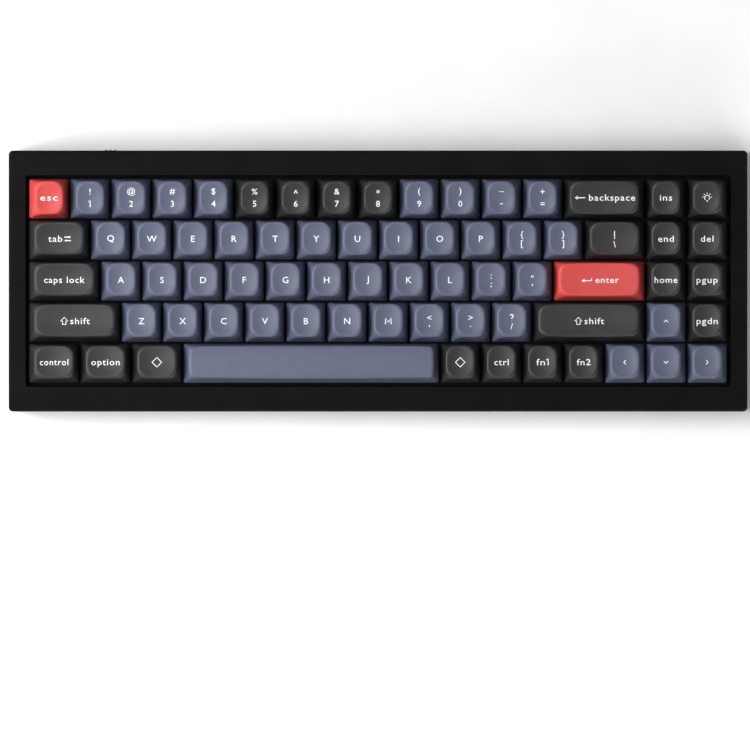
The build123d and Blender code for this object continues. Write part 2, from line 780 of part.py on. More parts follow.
def foot_pocket_cut(x, y):
    outline = SlotOverall(foot_length + 2 * foot_fit, foot_width + 2 * foot_fit)
    return Pos(x, y, 0) * extrude(outline, foot_height + foot_pocket)


# ---------------------------------------------------------------------------------------------
# Assembly
# ---------------------------------------------------------------------------------------------

def deck_placement(top_case):
    """Tilt the deck, centre the case on Y = 0 and lift it to stand on its feet."""
    front_floor = -inner_back * tilt_sin + floor_level * tilt_cos
    lift = foot_height + floor_least - front_floor
    tilted_top = (Rot(deck_tilt, 0, 0) * top_case).bounding_box()
    underside_back = (foot_height + underside_chamfer - lift - case_back * tilt_sin) / tilt_cos
    back = case_back * tilt_cos - underside_back * tilt_sin
    return Pos(0, -(tilted_top.min.Y + back) / 2, lift) * Rot(deck_tilt, 0, 0)


def make_bottom_case(tray, place, feet_places):
    """Cut the tray's underside level with the desk, bevel it and sink the foot pockets."""
    body = place * tray
    body = split(body, bisect_by=Plane.XY.offset(foot_height), keep=Keep.TOP)
    underside = body.faces().sort_by(Axis.Z)[0]
    body = chamfer(underside.outer_wire().edges(), underside_chamfer)
    for x, y in feet_places:
        body = body - foot_pocket_cut(x, y)
    return body


def make_key_nodes():
    """Solids of every key node: caps, stems and stabiliser sliders."""
    caps = {}
    stem = make_stem()
    slider = make_stabiliser_slider()
    nodes = {}
    for key in keys:
        profile = (key.row, key.units)
        if profile not in caps:
            caps[profile] = make_cap(*profile)
        solids = [caps[profile], stem]
        if key.units >= 2:
            solids += [Pos(side * slider_spacing(key), 0, 0) * slider for side in (-1, 1)]
        nodes.setdefault(key.node, []).extend(Pos(key.x, key.y, 0) * solid for solid in solids)
    return nodes


def build():
    """Every node's solids, in the desk's frame."""
    top_case = make_top_case()
    place = deck_placement(top_case)
    foot_x = case_width / 2 - foot_inset_x
    foot_y = case_depth / 2 - foot_inset_y
    feet_places = [(x, y) for x in (-foot_x, foot_x) for y in (-foot_y, foot_y)]

    deck = {
        "top_case": [top_case],
        "case_screws": [make_case_screw(x, y) for x, y in case_screw_places()],
        "switch_plate": [make_plate()],
        "plate_gaskets": make_gaskets(),
        "plate_foam": [make_plate_foam()],
        "circuit_board": [make_circuit_board()],
        "controller_chip": [make_controller_chip()],
        "case_foam": [make_case_foam()],
        "switch_bases": at_keys(make_switch_base()),
        "switch_covers": at_keys(make_switch_cover()),
        "switch_springs": at_keys(make_spring()),
        "switch_contacts": [copy for contact in make_contacts() for copy in at_keys(contact)],
        "switch_sockets": at_keys(make_socket()),
        "key_lamps": at_keys(slab(lamp_size[0], lamp_size[1], board_top, board_top + lamp_size[2],
                                  y=lamp_offset)),
        "stabiliser_housings": at_sliders(make_stabiliser_housing()),
        "stabiliser_screws": at_sliders(make_stabiliser_screw()),
        "usb_board": [make_usb_board()],
        "usb_board_screws": [make_usb_screw(x, y) for x, y in usb_screw_places()],
        "usb_port": [make_usb_port()],
        "board_cable": [make_board_cable()],
        "toggle_housing": [make_toggle_housing()],
        "toggle_knob": [make_toggle_knob()],
    }
    deck.update(make_key_nodes())
    for key in wide_keys:
        deck[key.node.replace("_key", "_stabiliser_wire")] = [make_stabiliser_wire(key)]

    nodes = {name: [place * solid for solid in solids] for name, solids in deck.items()}
    nodes["bottom_case"] = [make_bottom_case(make_tray(), place, feet_places)]
    nodes["rubber_feet"] = [make_foot(x, y) for x, y in feet_places]
    return nodes, place


def write_parts(nodes, deck_place):
    os.makedirs("parts", exist_ok=True)
    for name, shapes in nodes.items():
        solids = [solid for shape in shapes for solid in shape.solids()]
        export_step(Compound(solids), f"parts/{name}.step")
    print(f"{len(nodes)} nodes, case {case_width:.1f} x {case_depth:.1f} mm")
    print(f"deck middle at {deck_place.position}, wires swing {leg_up - leg_down:.2f} degrees")


nodes, deck_place = build()
write_parts(nodes, deck_place)
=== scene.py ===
# %% [markdown]
# # A compact mechanical keyboard
# The engineering model gives every hard part its place: case, plate, boards, switches and joints. This
# lesson builds what a hand and an eye meet on top of it: the sculpted keycaps, their stems, the lettering
# and all the finishes. Nothing here moves or resizes a part of the engineering model.

# %% Load the frame
import json
import math
import bmesh
import bpy
from mathutils import Matrix, Vector


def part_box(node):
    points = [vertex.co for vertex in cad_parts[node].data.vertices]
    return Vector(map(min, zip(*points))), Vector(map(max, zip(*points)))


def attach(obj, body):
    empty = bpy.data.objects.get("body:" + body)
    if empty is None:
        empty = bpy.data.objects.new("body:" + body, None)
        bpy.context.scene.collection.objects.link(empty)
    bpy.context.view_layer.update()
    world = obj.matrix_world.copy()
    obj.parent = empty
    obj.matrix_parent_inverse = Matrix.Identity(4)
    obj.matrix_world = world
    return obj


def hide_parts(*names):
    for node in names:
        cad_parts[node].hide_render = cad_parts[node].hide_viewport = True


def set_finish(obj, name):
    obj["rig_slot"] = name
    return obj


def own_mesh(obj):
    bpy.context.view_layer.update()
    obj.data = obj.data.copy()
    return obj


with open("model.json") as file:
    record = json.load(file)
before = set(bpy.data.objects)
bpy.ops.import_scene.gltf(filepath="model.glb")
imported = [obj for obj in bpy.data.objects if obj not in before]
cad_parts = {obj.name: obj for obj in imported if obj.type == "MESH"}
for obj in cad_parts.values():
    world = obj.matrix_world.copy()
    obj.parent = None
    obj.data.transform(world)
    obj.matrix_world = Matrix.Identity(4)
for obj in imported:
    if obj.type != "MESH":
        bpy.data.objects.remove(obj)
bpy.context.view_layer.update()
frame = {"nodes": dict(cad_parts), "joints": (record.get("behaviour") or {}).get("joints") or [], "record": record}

MM = 0.001

# %% [markdown]
# ## The deck frame
# A keyboard's deck slopes towards the typist, and everything on it is square to that slope. So each piece
# is modelled lying flat, as on a bench, and one matrix then carries it onto the deck. The slope is read
# from the way a key travels, and the deck's middle from the switch plate, a slab that lies in the deck.

# %% Deck placement
plate_thickness = 1.5 * MM
down = Vector(next(j["axis"] for j in frame["joints"] if j["name"] == "escape_key_press"))
slope = math.atan2(down.y, -down.z)
plate_low, plate_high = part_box("switch_plate")
deck_turn = Matrix.Rotation(slope, 4, "X")
deck_up = deck_turn @ Vector((0, 0, 1))
deck_middle = (plate_low + plate_high) / 2 + deck_up * plate_thickness / 2
deck = Matrix.Translation(deck_middle) @ deck_turn
print("slope in degrees:", round(math.degrees(slope), 2), "deck middle:", deck_middle)

# %% [markdown]
# ## The key layout
# Keys are counted in units of 19.05 mm. Each row lists its keys from left to right with the body that they
# ride on, their width in units, their colour and what is printed on them. Four bodies hold the plain keys
# of a whole row.

# %% Rows of keys
unit = 19.05 * MM
field_width = 17 * unit


def plain(body, marks, colour="blue"):
    """Keys of one unit that share a body, one for each mark."""
    return [(body, 1, colour, mark) for mark in marks]


number = "number_row_keys"
rows = [
    [("escape_key", 1, "red", "esc")]
    + plain(number, ["!1", "@2", "#3", "$4"]) + plain(number, ["%5", "^6", "&7", "*8"], "dark")
    + plain(number, ["(9", ")0", "_-", "+="])
    + [("backspace_key", 2, "dark", "backspace"), ("insert_key", 1, "dark", "ins"),
       ("light_key", 1, "dark", "lamp")],
    [("tab_key", 1.5, "dark", "tab")]
    + plain("upper_row_keys", [*"QWERTYUIOP", "{[", "}]"])
    + [("backslash_key", 1.5, "dark", "|\\"), ("end_key", 1, "dark", "end"),
       ("delete_key", 1, "dark", "del")],
    [("caps_lock_key", 1.75, "dark", "caps lock")]
    + plain("home_row_keys", [*"ASDFGHJKL", ":;", "\"'"])
    + [("enter_key", 2.25, "red", "enter"), ("home_key", 1, "dark", "home"),
       ("page_up_key", 1, "dark", "pgup")],
    [("left_shift_key", 2.25, "dark", "shift")]
    + plain("lower_row_keys", [*"ZXCVBNM", "<,", ">.", "?/"])
    + [("right_shift_key", 2.75, "dark", "shift"), ("up_key", 1, "blue", "up"),
       ("page_down_key", 1, "dark", "pgdn")],
    [("control_key", 1.25, "dark", "control"), ("option_key", 1.25, "dark", "option"),
     ("left_command_key", 1.25, "dark", "diamond"), ("space_key", 6.25, "blue", ""),
     ("right_command_key", 1, "dark", "diamond"), ("right_control_key", 1, "dark", "ctrl"),
     ("fn1_key", 1, "dark", "fn1"), ("fn2_key", 1, "dark", "fn2"), ("left_key", 1, "blue", "left"),
     ("down_key", 1, "blue", "down"), ("right_key", 1, "blue", "right")],
]


def lay_out():
    """Every key as a dictionary with its row, place on the deck, width and mark."""
    keys = []
    for row, entries in enumerate(rows):
        left = -field_width / 2
        for body, units, colour, mark in entries:
            keys.append({"body": body, "row": row, "units": units, "colour": colour, "mark": mark,
                         "x": left + units * unit / 2, "y": (2 - row) * unit, "number": len(keys) + 1})
            left += units * unit
    return keys


keys = lay_out()
print("keys:", len(keys))

# %% [markdown]
# ## Working in edit mode
# An operator acts on whatever is selected. These helpers clear the selection, open an object for editing
# and pick its faces by a test on their middle and normal, which is what a hand does with the mouse.

# %% Edit-mode helpers
def only(obj):
    """Make one object the selected and active one."""
    bpy.ops.object.select_all(action="DESELECT")
    obj.select_set(True)
    bpy.context.view_layer.objects.active = obj
    return obj


def edit(obj):
    """Open one object in edit mode with nothing selected."""
    only(obj)
    bpy.ops.object.mode_set(mode="EDIT")
    bpy.ops.mesh.select_mode(type="FACE")
    bpy.ops.mesh.select_all(action="DESELECT")


def done():
    """Leave edit mode."""
    bpy.ops.object.mode_set(mode="OBJECT")


def pick_faces(obj, test):
    """Select the faces whose middle and normal pass a test, and nothing else."""
    mesh = bmesh.from_edit_mesh(obj.data)
    bpy.ops.mesh.select_all(action="DESELECT")
    for face in mesh.faces:
        face.select_set(bool(test(face.calc_center_median(), face.normal)))
    bmesh.update_edit_mesh(obj.data)


def box_piece(name, size, middle):
    """A box primitive of a given size whose place is in its mesh."""
    bpy.ops.mesh.primitive_cube_add(size=1, location=middle)
    piece = bpy.context.object
    piece.name = name
    piece.scale = size
    bpy.ops.object.transform_apply(location=True, rotation=True, scale=True)
    return piece


def smooth(obj, degrees=35):
    """Shade smooth, but keep edges that are sharper than an angle."""
    only(obj)
    bpy.ops.object.shade_smooth_by_angle(angle=math.radians(degrees))
    return obj

# %% [markdown]
# ## The keycap's shape
# A cap of this kind is moulded with a nearly square skirt and a smaller, pillow-cornered top whose middle
# is scooped for the fingertip. Its outline changes from square to round on the way up, its back wall is
# steeper than its front one, and each row leans its own way. Operators scale or round a whole ring alike,
# so they can't turn a square into a pillow while they draw it in. The cap therefore starts as a subdivided
# cube, and one formula moves each of its points: the four sides become the walls and the cube's top
# becomes the dish.

# %% Cap sizes
cap_gap = 0.9 * MM
skirt_level = 6.0 * MM
skirt_corner = 1.1 * MM
top_corner = 4.0 * MM
rim_round = 0.9 * MM
rim_band = 0.8 * MM
top_bulge = 0.5 * MM
scoop = 1.15 * MM
cap_cuts = 11
rings = cap_cuts + 1
wall_rings = 8
straight_share = 0.45
rim_pull = 0.75 * rim_round
rounding_power = 1.6
dome_corner = top_corner / 2
dome_drop = 0.45 * MM
widest_plain_key = 3

# height, side, front and back insets, lean of the top in degrees: one for each row, back to front
cap_rows = [
    (10.9 * MM, 3.05 * MM, 2.5 * MM, 1.35 * MM, 6.0),
    (9.5 * MM, 2.85 * MM, 2.8 * MM, 1.05 * MM, 3.0),
    (8.7 * MM, 2.8 * MM, 2.8 * MM, 1.05 * MM, 0.0),
    (8.9 * MM, 2.8 * MM, 2.8 * MM, 1.05 * MM, -4.0),
    (8.9 * MM, 2.8 * MM, 2.6 * MM, 1.25 * MM, -4.0),
]

# %% Formulas of the cap
def pillow(s, t, half_x, half_y, corner):
    """Where a point on the border of the unit square lies on a round-cornered outline."""
    swap = abs(t) < abs(s)
    along, reach_a, reach_b = (t, half_y, half_x) if swap else (s, half_x, half_y)
    across = s if swap else t
    sign = math.copysign(1, along)
    if abs(along) <= straight_share:
        a, b = (reach_a - corner) * along / straight_share, reach_b
    else:
        turn = (abs(along) - straight_share) / (1 - straight_share) * math.pi / 4
        a = sign * (reach_a - corner + corner * math.sin(turn))
        b = reach_b - corner + corner * math.cos(turn)
    b = math.copysign(b, across)
    return (b, a) if swap else (a, b)


class Cap:
    """The walls and top of one cap, lying flat with its skirt on Z = 0."""

    def __init__(self, row, units):
        self.height, self.side, self.front, self.back, lean = cap_rows[row]
        self.half_x = (units * unit - cap_gap) / 2
        self.half_y = (unit - cap_gap) / 2
        self.lean = math.tan(math.radians(lean))
        self.domed = units > widest_plain_key
        self.top_y = (self.front - self.back) / 2

    def outline(self, s, t, up):
        """The wall's outline at a share of the height."""
        half_x = self.half_x - self.side * up
        half_y = self.half_y - (self.front + self.back) / 2 * up
        final_corner = dome_corner if self.domed else top_corner
        corner = skirt_corner + (final_corner - skirt_corner) * up ** rounding_power
        x, y = pillow(s, t, half_x, half_y, corner)
        bulge = top_bulge * up ** 3
        x += math.copysign(bulge, x) * max(0, 1 - (y / half_y) ** 2) * (abs(x) / half_x) ** 4
        y += math.copysign(bulge, y) * max(0, 1 - (x / half_x) ** 2) * (abs(y) / half_y) ** 4
        return x, y + self.top_y * up

    def press(self, x, y, up):
        """How far the top is scooped, or domed on the space bar, at a place."""
        a = x / (self.half_x - self.side)
        b = (y - self.top_y) / (self.half_y - (self.front + self.back) / 2)
        lift = self.lean * y
        if self.domed:
            return (lift - dome_drop * b * b) * up ** 3
        return (lift - scoop * (1 - (a * a + b * b) / 2)) * up ** 3

    def point(self, s, t, level):
        """Where a point of the subdivided cube goes: s and t run across it, level up its side."""
        if level < 1:
            ring = round(level * rings)
            if ring <= wall_rings:
                up = ring / wall_rings * (1 - rim_round / self.height)
                x, y = self.outline(s, t, up)
                return x, y, self.height * up + self.press(x, y, up)
            turn = (ring - wall_rings) / (rings - wall_rings) * math.pi / 4
            return self.rim(s, t, turn, 1.0, 0.0)
        ring = round(max(abs(s), abs(t)) * rings / 2)
        if ring == 0:
            return 0.0, self.top_y, self.height + self.press(0.0, self.top_y, 1.0)
        s, t = s * rings / 2 / ring, t * rings / 2 / ring
        if ring == rings // 2:
            return self.rim(s, t, math.pi / 4, 1.0, 0.0)
        inner = rings // 2 - 2
        return self.rim(s, t, math.pi / 2, min(1.0, ring / inner), rim_band if ring <= inner else 0.0)

    def rim(self, s, t, turn, share, band):
        """A point on the rounded rim; a band and a share under 1 carry it inside the rim."""
        low = 1 - rim_round / self.height
        up = low + (1 - low) * math.sin(turn)
        x, y = self.outline(s, t, low)
        full_x, full_y = self.outline(s, t, 1.0)
        draw_in = 1 - math.cos(turn)
        x += (full_x - x) * math.sin(turn)
        y += (full_y - y) * math.sin(turn)
        length = math.hypot(x, y - self.top_y) or 1
        pull = draw_in * rim_pull
        x -= pull * x / length
        y -= pull * (y - self.top_y) / length
        x *= share * (1 - band / (self.half_x - self.side))
        y = self.top_y + (y - self.top_y) * share * (1 - band / (self.half_y - self.front))
        return x, y, self.height * up + self.press(x, y, up)

    def top(self, x, y):
        """Height of the finished top over the skirt."""
        return self.height + self.press(x, y, 1.0)

# %% [markdown]
# ## Moulding one cap
# The cube is subdivided in edit mode and its points are moved by the formulas. Then its underside is
# merged to one face, inset by the wall's thickness and pushed up inside, which leaves the hollow that
# goes over the switch.

# %% Mould a cap
cap_wall = 1.3 * MM
hollow_depth = 5.6 * MM
hollow_share = 0.65
hollow_end_share = 0.33
facing = 0.9


def mould_cap(row, units):
    """One cap of a row and a width, hollow underneath."""
    cap = Cap(row, units)
    bpy.ops.mesh.primitive_cube_add(size=2, location=(0, 0, 1))
    piece = bpy.context.object
    bpy.ops.object.transform_apply(location=True, rotation=True, scale=True)
    edit(piece)
    bpy.ops.mesh.select_all(action="SELECT")
    bpy.ops.mesh.subdivide(number_cuts=cap_cuts)
    pick_faces(piece, lambda middle, normal: normal.z < -facing)
    bpy.ops.mesh.dissolve_faces()
    done()
    for vertex in piece.data.vertices:
        s, t, level = vertex.co.x, vertex.co.y, vertex.co.z / 2
        vertex.co = cap.point(s, t, level)
    edit(piece)
    pick_faces(piece, lambda middle, normal: normal.z < -facing and middle.z < 0.1 * MM)
    bpy.ops.mesh.inset(thickness=cap_wall, depth=0)
    bpy.ops.mesh.extrude_region_move(TRANSFORM_OT_translate={"value": (0, 0, hollow_depth)})
    narrower = [1 - cap.side * hollow_share / cap.half_x,
                1 - (cap.front + cap.back) * hollow_end_share / cap.half_y, 1]
    bpy.ops.transform.resize(value=narrower, center_override=(0, 0, hollow_depth))
    bpy.ops.transform.translate(value=(0, cap.top_y * hollow_share, 0))
    bpy.ops.mesh.select_all(action="SELECT")
    bpy.ops.mesh.normals_make_consistent(inside=False)
    done()
    smooth(piece, 40)
    return piece


# %% Mould every row and width once
moulds = {}
for key in keys:
    shape = (key["row"], key["units"])
    if shape not in moulds:
        moulds[shape] = mould_cap(*shape)
print("cap moulds:", len(moulds), "faces in one:", len(moulds[(2, 1)].data.polygons))

# %% [markdown]
# ## Placing copies
# A copy gets its own mesh, so that the moulds stay as they are. Its place goes into its mesh: the mesh is
# moved by the deck's matrix and the object stays at the origin, as the parts of the engineering model do.

# %% Copy and place
def place_copy(mould, name, x, y, z=0):
    """A copy of a mould, set down on the deck."""
    piece = mould.copy()
    piece.data = mould.data.copy()
    piece.name = name
    bpy.context.collection.objects.link(piece)
    piece.data.transform(deck @ Matrix.Translation((x, y, z)))
    piece.data.update()
    return piece


def join(pieces, name):
    """Several pieces made one mesh, which keeps the first one's object."""
    only(pieces[0])
    for piece in pieces:
        piece.select_set(True)
    bpy.ops.object.join()
    pieces[0].name = name
    return pieces[0]


for key in keys:
    cap = place_copy(moulds[(key["row"], key["units"])], f"cap_{key['number']:02d}", key["x"], key["y"],
                     skirt_level)
    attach(cap, key["body"])
    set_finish(cap, "cap_" + key["colour"])
    key["cap"] = cap
for mould in moulds.values():
    bpy.data.objects.remove(mould)
print("caps placed:", len(keys))

# %% [markdown]
# ## Stems
# Under each cap a plus-shaped post grips the switch's slider. The slider has a wider shoulder that the
# switch's cover holds back, and a pole below that runs in the housing's bore. They are drawn out of one
# another with extrusions, as they are one moulding, and a round boss under the cap holds the post.

# %% Stem sizes
post_top = 10.2 * MM
post_span = 4.0 * MM
post_bar = 1.2 * MM
slider_top = 6.4 * MM
slider_bottom = 1.6 * MM
slider_size = (7.0 * MM, 5.4 * MM)
shoulder_size = (8.6 * MM, 6.6 * MM)
shoulder_top = 5.4 * MM
pole_side = 1.3 * MM
pole_bottom = -3.6 * MM
boss_radius = 2.75 * MM
boss_wall = 0.55 * MM
boss_top = skirt_level + hollow_depth + 0.4 * MM

# %% Shape the stem
def extrude_side(obj, test, move):
    """Draw the picked faces out by a move."""
    edit(obj)
    pick_faces(obj, test)
    bpy.ops.mesh.extrude_region_move(TRANSFORM_OT_translate={"value": move})
    done()


def shape_post():
    """The plus-shaped post: a square core with an arm drawn out of each side."""
    middle = (0, 0, (slider_top + post_top) / 2)
    post = box_piece("post", (post_bar, post_bar, post_top - slider_top), middle)
    arm = (post_span - post_bar) / 2
    for way in ((1, 0), (-1, 0), (0, 1), (0, -1)):
        side = Vector((way[0], way[1], 0))
        extrude_side(post, lambda middle, normal: normal.dot(side) > facing
                     and middle.dot(side) > post_bar * 0.4, side * arm)
    return post


def shape_slider():
    """The slider: a broad shoulder, stepped in above it, with the pole drawn out of its underside."""
    height = shoulder_top - slider_bottom
    slider = box_piece("slider", (*shoulder_size, height), (0, 0, slider_bottom + height / 2))
    edit(slider)
    pick_faces(slider, lambda middle, normal: normal.z > facing)
    bpy.ops.mesh.inset(thickness=(shoulder_size[0] - slider_size[0]) / 2)
    bpy.ops.mesh.extrude_region_move(
        TRANSFORM_OT_translate={"value": (0, 0, slider_top - shoulder_top)})
    pick_faces(slider, lambda middle, normal: normal.z < -facing)
    inset = shoulder_size[1] / 2 - pole_side / 2
    bpy.ops.mesh.inset(thickness=inset)
    narrow = pole_side / (shoulder_size[0] - 2 * inset)
    bpy.ops.transform.resize(value=(narrow, 1, 1), center_override=(0, 0, slider_bottom))
    bpy.ops.mesh.extrude_region_move(
        TRANSFORM_OT_translate={"value": (0, 0, pole_bottom - slider_bottom)})
    done()
    return slider


def shape_boss():
    """The round boss under a cap's roof, open below for the post."""
    bottom = slider_top + 0.35 * MM
    bpy.ops.mesh.primitive_cylinder_add(vertices=16, radius=boss_radius, depth=boss_top - bottom,
                                        location=(0, 0, (bottom + boss_top) / 2))
    boss = bpy.context.object
    bpy.ops.object.transform_apply(location=True, rotation=True, scale=True)
    edit(boss)
    pick_faces(boss, lambda middle, normal: normal.z < -facing)
    bpy.ops.mesh.inset(thickness=boss_wall)
    bpy.ops.mesh.extrude_region_move(
        TRANSFORM_OT_translate={"value": (0, 0, post_top + 0.2 * MM - bottom)})
    done()
    return boss


def shape_stabiliser_slider():
    """The block that a wide cap's outer post stands on, with a mouth for the wire's leg."""
    width, depth, bottom = 5.6 * MM, 5.2 * MM, -0.9 * MM
    block = box_piece("block", (width, depth, slider_top - bottom), (0, 0, (slider_top + bottom) / 2))
    edit(block)
    pick_faces(block, lambda middle, normal: normal.y < -facing)
    bpy.ops.mesh.inset(thickness=1.2 * MM)
    bpy.ops.transform.translate(value=(0, 0, -1.0 * MM))
    bpy.ops.mesh.extrude_region_move(TRANSFORM_OT_translate={"value": (0, 4.2 * MM, 0)})
    done()
    return block


stem_mould = join([shape_slider(), shape_post()], "stem_mould")
boss_mould = shape_boss()
outer_mould = join([shape_stabiliser_slider(), shape_post()], "outer_mould")
print("faces in one stem:", len(stem_mould.data.polygons))

# %% Give every key its stem
stabiliser_reach = {2: 11.938 * MM, 2.25: 11.938 * MM, 2.75: 11.938 * MM, 6.25: 50.0 * MM}
stems = {}
for key in keys:
    body = stems.setdefault(key["body"], [])
    body.append(place_copy(stem_mould, "stem", key["x"], key["y"]))
    body.append(place_copy(boss_mould, "boss", key["x"], key["y"]))
    for side in (-1, 1) if key["units"] in stabiliser_reach else ():
        x = key["x"] + side * stabiliser_reach[key["units"]]
        body.append(place_copy(outer_mould, "outer", x, key["y"]))
        body.append(place_copy(boss_mould, "boss", x, key["y"]))
for body, parts in stems.items():
    stem = join(parts, "stem_" + body)
    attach(stem, body)
    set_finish(stem, "switch_housing")
    key_parts = [key["cap"] for key in keys if key["body"] == body] + [stem]
    for piece in key_parts:
        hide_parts(body)
for mould in (stem_mould, boss_mould, outer_mould):
    bpy.data.objects.remove(mould)
print("bodies with stems:", len(stems))

# %% [markdown]
# ## Springs
# A coil spring under each slider pushes the key back up. It could be a curve with a round bevel, but the
# Screw modifier makes it the way a coiling machine does: a small circle, the wire's section, is carried
# round the axis and up by one pitch a turn.

# %% One spring's coil
spring_seat, spring_top = -3.4 * MM, 1.6 * MM
spring_wire = 0.3 * MM
spring_middle = 1.68 * MM
spring_turns = 6

bpy.ops.mesh.primitive_circle_add(vertices=6, radius=spring_wire / 2, rotation=(math.pi / 2, 0, 0),
                                  location=(spring_middle, 0, spring_seat + spring_wire / 2))
spring_mould = bpy.context.object
only(spring_mould)
bpy.ops.object.transform_apply(location=True, rotation=True, scale=True)
coil = spring_mould.modifiers.new("coil", "SCREW")
coil.screw_offset = (spring_top - spring_seat - spring_wire) / spring_turns
coil.iterations = spring_turns
coil.steps = coil.render_steps = 14
bpy.ops.object.modifier_apply(modifier=coil.name)
edit(spring_mould)
bpy.ops.mesh.select_all(action="SELECT")
bpy.ops.mesh.remove_doubles(threshold=0.002 * MM)
bpy.ops.mesh.fill_holes(sides=6)
bpy.ops.mesh.normals_make_consistent(inside=False)
done()
smooth(spring_mould)
print("faces in one spring:", len(spring_mould.data.polygons))

# %% A spring under every key
for body in stems:
    coils = [place_copy(spring_mould, "coil", key["x"], key["y"])
             for key in keys if key["body"] == body]
    spring = join(coils, "spring_" + body)
    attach(spring, "root")
    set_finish(spring, "spring_steel")
    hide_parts("switch_springs")
    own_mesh(spring)
bpy.data.objects.remove(spring_mould)


# %% [markdown]
# ## Lettering
# Double-shot caps carry their signs in a second plastic that is flush with the top. Text objects give the
# letters, and curves with a round bevel, pressed flat, give arrows and other line signs. Both are turned
# into meshes, set in the middle of the cap and then draped: each point takes its height from the same
# formula as the scoop, so that a word follows the hollow without sinking into it.

# %% Lettering sizes
letter_height = 4.15 * MM
word_height = 4.15 * MM
sign_height = 4.0 * MM
letter_weight = 0.015 * MM
letter_spacing = 1.12
open_signs = "@&%"
word_widths = {
    "esc": 8.1, "tab": 6.5, "caps lock": 18.8, "shift": 9.1, "control": 13.2, "option": 13.2,
    "backspace": 21.4, "ins": 5.6, "end": 7.2, "del": 5.9, "home": 10.6, "pgup": 9.8, "pgdn": 9.8,
    "enter": 10.8, "ctrl": 6.7, "fn": 4.0, "fn2": 6.4,
}
inlay_proud = 0.05 * MM
inlay_depth = 0.16 * MM
stroke = 0.54 * MM
bold_stroke = 1.2 * stroke
letter_stretch = 1.05
legend_lift = 0.5 * MM

# %% Letters and line signs
def write(text, size, x, y, by_baseline=None):
    """A word as a flat mesh with its middle on x and y, or its baseline on a level."""
    bpy.ops.object.text_add(location=(0, 0, 0))
    sign = bpy.context.object
    sign.data.body = text
    sign.data.size = size
    sign.data.offset = 0 if text in open_signs else letter_weight
    sign.data.extrude = inlay_depth / 2
    sign.data.resolution_u = 2
    sign.data.space_character = letter_spacing
    only(sign)
    bpy.ops.object.convert(target="MESH")
    sign = bpy.context.object
    edit(sign)
    bpy.ops.mesh.select_all(action="SELECT")
    bpy.ops.mesh.remove_doubles(threshold=0.002 * MM)
    bpy.ops.mesh.normals_make_consistent(inside=False)
    done()
    xs = [v.co.x for v in sign.data.vertices]
    ys = [v.co.y for v in sign.data.vertices]
    base = -(min(ys) + max(ys)) / 2 if by_baseline is None else by_baseline
    sign.data.transform(Matrix.Translation((-(min(xs) + max(xs)) / 2, base, 0)))
    stretch = word_widths[text] * MM / (max(xs) - min(xs)) if text in word_widths else letter_stretch
    sign.data.transform(Matrix.Translation((x, y, 0)) @ Matrix.Diagonal((stretch, 1, 1, 1)))
    return sign


def draw(lines, x, y, width=stroke):
    """A line sign: each list of points in millimetres becomes one stroke with closed ends."""
    curve = bpy.data.curves.new("sign", "CURVE")
    curve.dimensions = "3D"
    curve.bevel_depth = width / 2
    curve.bevel_resolution = 2
    curve.use_fill_caps = True
    for points, closed in lines:
        spline = curve.splines.new("POLY")
        spline.points.add(len(points) - 1)
        for point, (px, py) in zip(spline.points, points):
            point.co = (x + px * MM, y + py * MM, 0, 1)
        spline.use_cyclic_u = closed
    sign = bpy.data.objects.new("sign", curve)
    bpy.context.collection.objects.link(sign)
    only(sign)
    bpy.ops.object.convert(target="MESH")
    sign = bpy.context.object
    sign.data.transform(Matrix.Diagonal((1, 1, inlay_depth / width, 1)))
    return sign


def ring(radius, steps=14, start=0.0, turn=360.0):
    """Points round a circle or an arc, in millimetres."""
    count = steps + (abs(turn) < 360)
    angles = [math.radians(start + turn * step / steps) for step in range(count)]
    return [(radius * math.cos(a), radius * math.sin(a)) for a in angles]


arrow_left = [([(-2.0, 0), (2.3, 0)], False), ([(-1.2, 0.75), (-2.2, 0), (-1.2, -0.75)], True)]
arrow_return = [([(-2.0, -0.3), (2.2, -0.3), (2.2, 0.8)], False),
                ([(-1.2, 0.45), (-2.2, -0.3), (-1.2, -1.05)], True)]
arrow_up = [([(0, 1.7), (-1.7, 0.1), (-0.8, 0.1), (-0.8, -1.5), (0.8, -1.5), (0.8, 0.1),
              (1.7, 0.1)], True)]
arrows_tab = [([(-1.5, 0.8), (1.2, 0.8)], False), ([(0.7, 1.15), (1.3, 0.8), (0.7, 0.45)], True),
              ([(1.5, -0.8), (-1.2, -0.8)], False), ([(-0.7, -0.45), (-1.3, -0.8), (-0.7, -1.15)], True)]
chevrons = {
    "up": [([(-0.95, -0.45), (0, 0.5), (0.95, -0.45)], False)],
    "down": [([(-0.95, 0.45), (0, -0.5), (0.95, 0.45)], False)],
    "left": [([(0.45, 0.95), (-0.5, 0), (0.45, -0.95)], False)],
    "right": [([(-0.45, 0.95), (0.5, 0), (-0.45, -0.95)], False)],
}
diamond = [([(0, 2.2), (-2.2, 0), (0, -2.2), (2.2, 0)], True)]
lamp = ([(ring(1.15, 12, -50, 280), False), ([(-0.45, -1.5), (0.45, -1.5)], False)]
        + [([(math.cos(a) * 1.75, math.sin(a) * 1.75), (math.cos(a) * 2.3, math.sin(a) * 2.3)], False)
           for a in map(math.radians, (10, 50, 90, 130, 170))])
drawn_letters = {
    "1": [([(-0.75, 0.85), (0.1, 1.4), (0.1, -1.5)], False)],
    "M": [([(-1.3, -1.4), (-1.3, 1.35), (0, -0.5), (1.3, 1.35), (1.3, -1.4)], False)],
    "?": [([(x, y + 0.75) for x, y in ring(0.7, 8, 165, -215)] + [(0.1, -0.1), (0.1, -0.5)], False),
          ([(0.1, -1.3), (0.1, -1.4)], False)],
}

